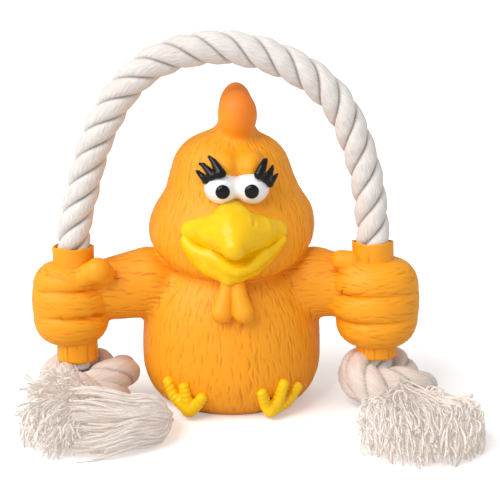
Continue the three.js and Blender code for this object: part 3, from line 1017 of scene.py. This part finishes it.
def make_sleeve(name):
    """A thin latex tube around the rope, trimmed by hand, with shallow folds."""
    low, high = SLEEVES[name]
    trimmed = SLEEVE_CUTS[name]
    phase = trimmed["phase"]
    outer = (high[0] - low[0]) / 2
    inner = outer - SLEEVE_WALL
    sides, rows = 180, 56
    angle = np.linspace(0, 2 * math.pi, sides, endpoint=False)
    level = np.linspace(0, 1, rows)
    trim = 0.3 * np.cos(3 * angle + phase) + 0.25 * np.cos(7 * angle + 2 * phase)
    folds = sleeve_folds(angle, level, phase)
    bottom = low[2] + trimmed["hem"] + 0.5 * trim
    top = high[2] + trimmed["raised"] + trim - 0.6 * np.sin(angle)
    height = bottom[None, :] * (1 - level[:, None]) + top[None, :] * level[:, None]
    middle = REACH[name] + trimmed["lean"] * (level[:, None] - 0.45)

    def wall(radius, groove, flare):
        """One face of the latex, from its lower rim to its upper one."""
        size = radius + groove * folds + (flare * np.abs(2 * level - 1) ** 6)[:, None]
        return np.stack([middle + size * np.cos(angle), HAND_Y + size * np.sin(angle), height], axis=-1)

    rings = np.concatenate([wall(outer, 1, 0.12), wall(inner, 0.3, 0.5)[::-1]])
    points = rings.reshape(-1, 3)
    obj = mesh_object(f"{name}_sleeve_look", points, tube_faces(len(rings), sides, closed=True))
    # Painted shade: the latex is darkened in the folds.
    depth = np.clip(-folds * 2.6, 0, 0.8)
    attribute(obj, "painted_shade", np.concatenate([depth, depth[::-1]]).ravel())
    attribute(obj, "blush", np.zeros(len(points)))
    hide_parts(f"{name}_sleeve")
    return obj


# ---- The face ----

def eye_field(side):
    return ellipsoid([FACE_X - 0.3 + side * 6.3, -24.5, 100.3], [7.3, 8.4, 7.1])


def solid_piece(name, field, low, high, slot, nodes, step=DETAIL, lowest=-math.inf):
    """A painted piece on the torso, made of a field between two corners."""
    points, quads = shape(field, low, high, step)
    points[:, 2] = np.maximum(points[:, 2], lowest)
    obj = mesh_object(name, points, quads, normals_of(points, quads))
    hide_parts(*nodes)
    dress(obj, PAINTS[slot], "torso")


PUPILS = {"left": (-3.0, 99.8), "right": (8.9, 100.0)}


def make_eyes():
    both = joined(3.2, eye_field(-1), eye_field(1))
    solid_piece("eyes", both, [-14, -36, 90], [22, -12, 112], "white_paint", ["left_eye", "right_eye"])
    for name, (x, z) in PUPILS.items():
        dome = ellipsoid([x, -32.6, z], [3.0, 1.5, 3.0])
        low, high = [x - 4, -36, z - 4], [x + 4, -30, z + 4]
        solid_piece(f"{name}_pupil_look", dome, low, high, "black_paint", [f"{name}_pupil"], DETAIL / 2)


# The line of each eye's upper rim, then its three lashes.
LASHES = {
    "left": [
        [[-2.6, -31.0, 106.9], [-5.6, -30.6, 106.5], [-8.8, -28.6, 104.9], [-10.6, -27.0, 102.9]],
        [[-4.1, -30.6, 107.4], [-5.3, -29.7, 109.4], [-6.8, -28.3, 111.8], [-8.6, -27.2, 113.4]],
        [[-7.4, -29.6, 106.2], [-9.2, -28, 108.2], [-11.2, -26.2, 109.9], [-12.5, -25.2, 110.1]],
        [[-10.0, -28.0, 104.0], [-11.8, -26.2, 105.4], [-13.2, -24.6, 106.5], [-14.0, -23.6, 106.8]],
    ],
    "right": [
        [[11.6, -30.8, 106.4], [13.6, -29.9, 105.5], [15.4, -28.4, 103.7], [16.7, -27.0, 101.8]],
        [[12.0, -30.8, 106.8], [13.2, -29.6, 109.4], [14.3, -28.4, 111.8], [14.9, -27.8, 112.4]],
        [[14.8, -29.2, 104.8], [16.4, -27.6, 106.6], [17.2, -26.2, 108.2], [17.5, -25.2, 109.2]],
        [[16.4, -27.8, 102.4], [17.6, -26.4, 103.8], [18.8, -25.0, 104.9], [19.5, -24.2, 105.6]],
    ],
}
LASH_WIDTHS = [1.25, 1.0, 0.9]  # from the middle of the face outward
LASH_RADII = np.array([1.75, 1.5, 1.05, 0.6])
RIM_RADII = [1.1, 1.6, 1.6, 1.0]


def make_lashes():
    for name, (rim, *lashes) in LASHES.items():
        spikes = [chain(lash, LASH_RADII * wide) for lash, wide in zip(lashes, LASH_WIDTHS)]
        field = joined(1.0, chain(rim, RIM_RADII), *spikes)
        every = np.array(sum(lashes, rim))
        solid_piece(f"{name}_lashes", field, every.min(0) - 4, every.max(0) + 4, "black_paint",
                    [f"{name}_eyelashes"], DETAIL / 1.5)


def dimpled(base, spots, deep):
    """A field with shallow dents in its front at (x, z) spots."""
    def field(x, y, z):
        dents = sum(np.exp(-(((x - a) / 0.75) ** 2) - ((z - b) / 1.2) ** 2) for a, b in spots)
        return base(x, y, z) + deep * dents
    return field


BEAK_X = FACE_X + 0.4
BEAK_REACH = {-1: 19.0, 1: 15.1}  # how far the bill reaches to each side


def upper_beak():
    """A broad bill with a hooked tip and two nostrils."""
    x = BEAK_X
    bill = chain([[x - 3.0, -26.5, 90.2], [x - 2.6, -32.6, 86.2], [x - 2.0, -38, 82.4], [x - 1.6, -42, 78.4]],
                 [5.2, 6.6, 6.4, 5.0])
    wings = []
    for side, reach in BEAK_REACH.items():
        tip = [x + reach * side, -23.5, 81.4]
        line = [[x + 2 * side, -31.5, 83.0], [x + 0.58 * reach * side, -28.4, 82.2], tip]
        wings.append(chain(line, [8.6, 7.0, 5.5]))
    brim = ellipsoid([x - 1.2, -33.5, 80.6], [12.5, 7.0, 4.8])
    return dimpled(joined(6.2, bill, joined(2.0, *wings), brim), [(-6.0, 88.3), (9.9, 87.6)], 0.7)


def lower_beak():
    """A smiling jaw with a ridge for its lip."""
    lip = spline([[-18.8, -26.8, 78.4], [-15.8, -29.5, 75.2], [-11, -32.5, 73.2], [-5.5, -35.5, 71.7],
                  [-1.2, -37.2, 69.3], [3.4, -38, 67.9], [8.8, -37.2, 69.5], [12.8, -35, 72.2],
                  [17.0, -31, 74.6], [21.8, -26.3, 78.4]], 19)
    ridge = chain(lip, np.interp(np.linspace(0, 1, 19), [0, 0.15, 0.5, 0.85, 1], [1.8, 2.6, 2.1, 2.6, 1.8]))
    jaw = chain([[-17.4, -25, 75.4], [-13, -27.4, 71.8], [-7.5, -30.2, 69.0], [-1.5, -32, 66.8],
                 [2.2, -32.4, 66.8], [8.2, -30.8, 69.2], [13.6, -28, 72.2], [19.2, -24, 75.8]],
                [3.4, 4.8, 5.8, 5.8, 5.8, 5.8, 4.8, 3.4])
    chin = chain([[0.0, -33.4, 64.4], [-0.9, -34.8, 62.7]], [3.6, 1.9])
    back = chain([[-6.5, -31.4, 74.6], [3, -32.8, 74.0], [12, -31.4, 74.6]], [3.8, 4.0, 3.8])
    mouth = ellipsoid([3, -39, 74.8], [12, 3.6, 4.6])
    return joined(2.8, without(joined(2.5, jaw, chin, back), mouth, 1.0), ridge)


def make_beak():
    low, high = [-28, -55, 66], [31, -12, 100]
    solid_piece("upper_beak_look", upper_beak(), low, high, "yellow_paint", ["upper_beak"])
    low, high = [-27, -46, 54], [30, -14, 86]
    solid_piece("lower_beak_look", lower_beak(), low, high, "yellow_paint", ["lower_beak"])


FEET = {
    "left": [[[-23.9, -27.6, 9.6], [-26.7, -26.6, 15.8]], [[-18.7, -30.8, 8.6], [-19.8, -30.9, 14.6]],
             [[-14.9, -31.6, 6.6], [-12.1, -33.0, 10.8]]],
    "right": [[[15.0, -31.4, 7.0], [13.4, -33.0, 12.7]], [[20.2, -29.2, 8.4], [22.6, -29.7, 16.0]],
              [[23.9, -26.0, 6.8], [28.5, -23.8, 12.6]]],
}
HEELS = {"left": [-17.8, -31.0, 4.6], "right": [16.9, -31.0, 4.6]}
TOE_POINTS = 12
TOE_RING = 2.1  # from one ridge of a toe to the next
TOE_RIDGE = 0.11
FOOT_LOWEST = 0.15


def ringed(toe, heel, tip):
    """The toe with ridges across it from its root to its tip."""
    heel, tip = np.array(heel), np.array(tip)
    span = np.linalg.norm(tip - heel)
    way = (tip - heel) / span

    def field(x, y, z):
        along = (x - heel[0]) * way[0] + (y - heel[1]) * way[1] + (z - heel[2]) * way[2]
        ridges = TOE_RIDGE * np.cos(2 * math.pi * (along - span) / TOE_RING)
        return toe(x, y, z) + ridges * np.clip(along - 4, 0, 1)

    return field


def foot_field(name):
    """Three ringed toes that fan up the belly from a heel at the floor."""
    toes = []
    for middle, tip in FEET[name]:
        line = spline([HEELS[name], middle, tip], TOE_POINTS)
        toe = chain(line, np.linspace(3.0, 2.4, TOE_POINTS))
        toes.append(ringed(toe, HEELS[name], tip))
    return joined(0.8, *toes)


def make_feet():
    for name, side in SIDES.items():
        inner, outer = sorted([side * 6, side * 34])
        solid_piece(f"{name}_foot_look", foot_field(name), [inner, -42, -1], [outer, -20, 22],
                    "yellow_paint", [f"{name}_foot"], lowest=FOOT_LOWEST)


# ---- Assembly ----

BEND = 12  # how far past the split the end point of an arm's skin is put

rope, rope_path = rope_mesh("rope_look", rope_line())
dress(rope, COTTON, "rope")
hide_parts("rope")
rope_parts = []
for side_name in SIDES:
    knot = dress(make_knot(side_name), KNOT_SHADE_COTTON, "rope")
    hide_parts(f"{side_name}_knot")
    tassel = dress(make_tassel(side_name), YARN, f"{side_name}_tassel")
    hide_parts(f"{side_name}_tassel")
    rope_parts += [knot, tassel]
    dress(make_sleeve(side_name), LATEX, f"{side_name}_arm")
path = to_frame(rope_path)

for piece_name, piece in make_body().items():
    if piece_name.endswith("_arm"):
        side = SIDES[piece_name.removesuffix("_arm")]
        start = to_frame([side * SPLIT_X, SHOULDER[1], SHOULDER[2]])
        end = to_frame([side * (SPLIT_X + BEND), SHOULDER[1], SHOULDER[2]])
        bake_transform(piece)
        dress(piece, LATEX, None)
    else:
        dress(piece, LATEX, "torso")
make_eyes()
make_lashes()
make_beak()
make_feet()
for node in ("squeaker_case", "squeaker_cap", "squeaker_reed"):
    cover(frame["nodes"][node], PLASTIC)


# ---- Floor, world and lights ----

FLOOR_SIZE = 80.0  # in metres, from the middle to each side
FLOOR_GLOW = 0.32  # that the camera sees
WORLD_LIGHT = 0.565
WORLD_SEEN = 0.435  # more where the camera sees the world
LIGHTS = {  # where each comes from, its strength, and how wide it is in degrees
    "key": ((-0.82, -0.64, 0.85), 2.2, 52),
    "glint": ((-0.3, -0.75, 0.75), 0.28, 9),
    "fill": ((0.7, -0.8, 0.25), 0.05, 60),
}


def make_floor():
    """White paper that looks brighter to the camera than the light it sends back."""
    mesh = bpy.data.meshes.new("floor")
    square = [(x * FLOOR_SIZE, y * FLOOR_SIZE, 0) for x, y in ((-1, -1), (1, -1), (1, 1), (-1, 1))]
    mesh.from_pydata(square, [], [(0, 1, 2, 3)])
    floor = new_object("floor", mesh)
    n = Nodes("floor")
    seen = n.node("ShaderNodeLightPath").outputs["Is Camera Ray"]
    white = n.mix(n.noise(3), linear(250, 250, 250), linear(247, 247, 248))
    paper = n.mix(seen, linear(224, 224, 224), white)
    glow = n.math("MULTIPLY", seen, FLOOR_GLOW)
    n.finish(Base_Color=paper, Roughness=0.9, Emission_Color=white, Emission_Strength=glow)
    mesh.materials.append(n.material)


def make_world():
    """Even white light, brighter where the camera sees it."""
    world = bpy.data.worlds.new("studio")
    bpy.context.scene.world = world
    world.use_nodes = True
    tree = world.node_tree
    background = tree.nodes["Background"]
    background.inputs["Color"].default_value = (1.0, 1.0, 1.0, 1.0)
    path = tree.nodes.new("ShaderNodeLightPath")
    brightness = tree.nodes.new("ShaderNodeMath")
    brightness.operation = "MULTIPLY_ADD"
    tree.links.new(path.outputs["Is Camera Ray"], brightness.inputs[0])
    brightness.inputs[1].default_value = WORLD_SEEN
    brightness.inputs[2].default_value = WORLD_LIGHT
    tree.links.new(brightness.outputs[0], background.inputs["Strength"])


def make_lights():
    for name, (direction, strength, width) in LIGHTS.items():
        data = bpy.data.lights.new(name, "SUN")
        data.energy = strength
        data.angle = math.radians(width)
        light = new_object(name, data)
        light.rotation_euler = Vector(direction).to_track_quat("Z", "Y").to_euler()


make_floor()
make_world()
make_lights()
bpy.context.scene.view_settings.view_transform = "Standard"
